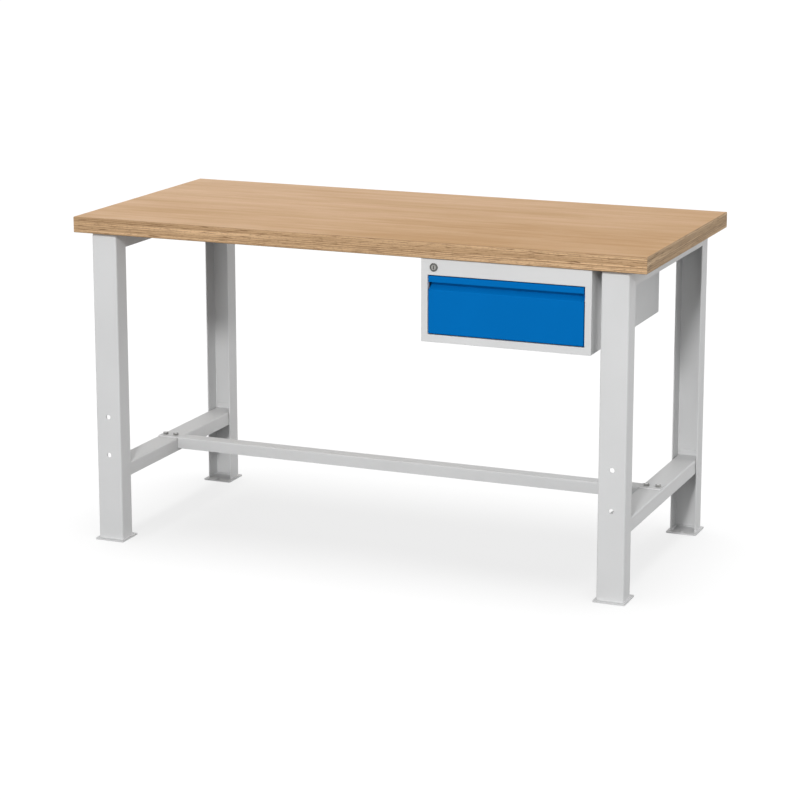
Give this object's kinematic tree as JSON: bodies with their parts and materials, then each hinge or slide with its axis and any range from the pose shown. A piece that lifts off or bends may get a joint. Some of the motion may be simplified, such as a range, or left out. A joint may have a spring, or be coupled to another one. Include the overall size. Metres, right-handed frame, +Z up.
{
  "type": "fixed height workbench",
  "caption": "Fixed height workbench with a thick plywood top, folded steel channel legs, a low stretcher and a lockable drawer under the top.",
  "frame": {"origin": "on the floor under the middle of the worktop", "axes": "+X along the bench to the right as seen from the front, +Y to the back, +Z up"},
  "size_m": [1.5, 0.7, 0.84],
  "materials": {
    "beech_plywood": "satin lacquer",
    "grey_paint": "powder coat",
    "blue_paint": "powder coat",
    "zinc_plate": "zinc plated",
    "nickel_plate": "nickel plated"
  },
  "bodies": {
    "bench": {"housing_back": "grey_paint", "housing_front_frame": "grey_paint", "housing_screws": "zinc_plate", "housing_shell": "grey_paint", "left_cabinet_rail": "zinc_plate", "left_front_foot_plate": "grey_paint", "left_front_leg": "grey_paint", "left_lower_rail": "grey_paint", "left_rear_foot_plate": "grey_paint", "left_rear_leg": "grey_paint", "left_slide_bracket": "zinc_plate", "left_top_rail": "grey_paint", "lock_barrel": "nickel_plate", "lock_nut": "zinc_plate", "right_cabinet_rail": "zinc_plate", "right_front_foot_plate": "grey_paint", "right_front_leg": "grey_paint", "right_lower_rail": "grey_paint", "right_rear_foot_plate": "grey_paint", "right_rear_leg": "grey_paint", "right_slide_bracket": "zinc_plate", "right_top_rail": "grey_paint", "stretcher": "grey_paint", "stretcher_bolts": "zinc_plate", "stretcher_nuts": "zinc_plate", "worktop": "beech_plywood", "worktop_screws": "zinc_plate"},
    "drawer": {"drawer_front": "blue_paint", "drawer_inner_front": "grey_paint", "drawer_tray": "grey_paint", "drawer_back": "grey_paint", "lock_strike": "grey_paint", "left_drawer_rail": "zinc_plate", "right_drawer_rail": "zinc_plate"},
    "lock": {"lock_plug": "nickel_plate", "lock_cam": "zinc_plate", "lock_cam_screw": "zinc_plate"},
    "left_middle_rail_body": {"left_middle_rail": "zinc_plate"},
    "left_outer_ball_cage_body": {"left_outer_ball_cage": "zinc_plate"},
    "left_inner_ball_cage_body": {"left_inner_ball_cage": "zinc_plate"},
    "right_middle_rail_body": {"right_middle_rail": "zinc_plate"},
    "right_outer_ball_cage_body": {"right_outer_ball_cage": "zinc_plate"},
    "right_inner_ball_cage_body": {"right_inner_ball_cage": "zinc_plate"}
  },
  "joints": [
    {"name": "drawer_slide", "type": "slide", "parent": "bench", "child": "drawer", "axis": [0, -1, 0], "range_m": [0, 0.45]},
    {"name": "lock_turn", "type": "hinge", "parent": "bench", "child": "lock", "pos_m": [0.2235, -0.345, 0.779], "axis": [0, 1, 0], "range_deg": [0, 90]},
    {"name": "left_middle_rail_slide", "type": "slide", "parent": "bench", "child": "left_middle_rail_body", "axis": [0, -1, 0], "range_m": [0, 0.226]},
    {"name": "left_outer_ball_cage_slide", "type": "slide", "parent": "bench", "child": "left_outer_ball_cage_body", "axis": [0, -1, 0], "range_m": [0, 0.1135]},
    {"name": "left_inner_ball_cage_slide", "type": "slide", "parent": "bench", "child": "left_inner_ball_cage_body", "axis": [0, -1, 0], "range_m": [0, 0.3385]},
    {"name": "right_middle_rail_slide", "type": "slide", "parent": "bench", "child": "right_middle_rail_body", "axis": [0, -1, 0], "range_m": [0, 0.226]},
    {"name": "right_outer_ball_cage_slide", "type": "slide", "parent": "bench", "child": "right_outer_ball_cage_body", "axis": [0, -1, 0], "range_m": [0, 0.1135]},
    {"name": "right_inner_ball_cage_slide", "type": "slide", "parent": "bench", "child": "right_inner_ball_cage_body", "axis": [0, -1, 0], "range_m": [0, 0.3385]}
  ],
  "couplings": [
    {"joint": "left_middle_rail_slide", "follows": "drawer_slide", "ratio": 0.5},
    {"joint": "left_outer_ball_cage_slide", "follows": "drawer_slide", "ratio": 0.25},
    {"joint": "left_inner_ball_cage_slide", "follows": "drawer_slide", "ratio": 0.75},
    {"joint": "right_middle_rail_slide", "follows": "drawer_slide", "ratio": 0.5},
    {"joint": "right_outer_ball_cage_slide", "follows": "drawer_slide", "ratio": 0.25},
    {"joint": "right_inner_ball_cage_slide", "follows": "drawer_slide", "ratio": 0.75}
  ]
}
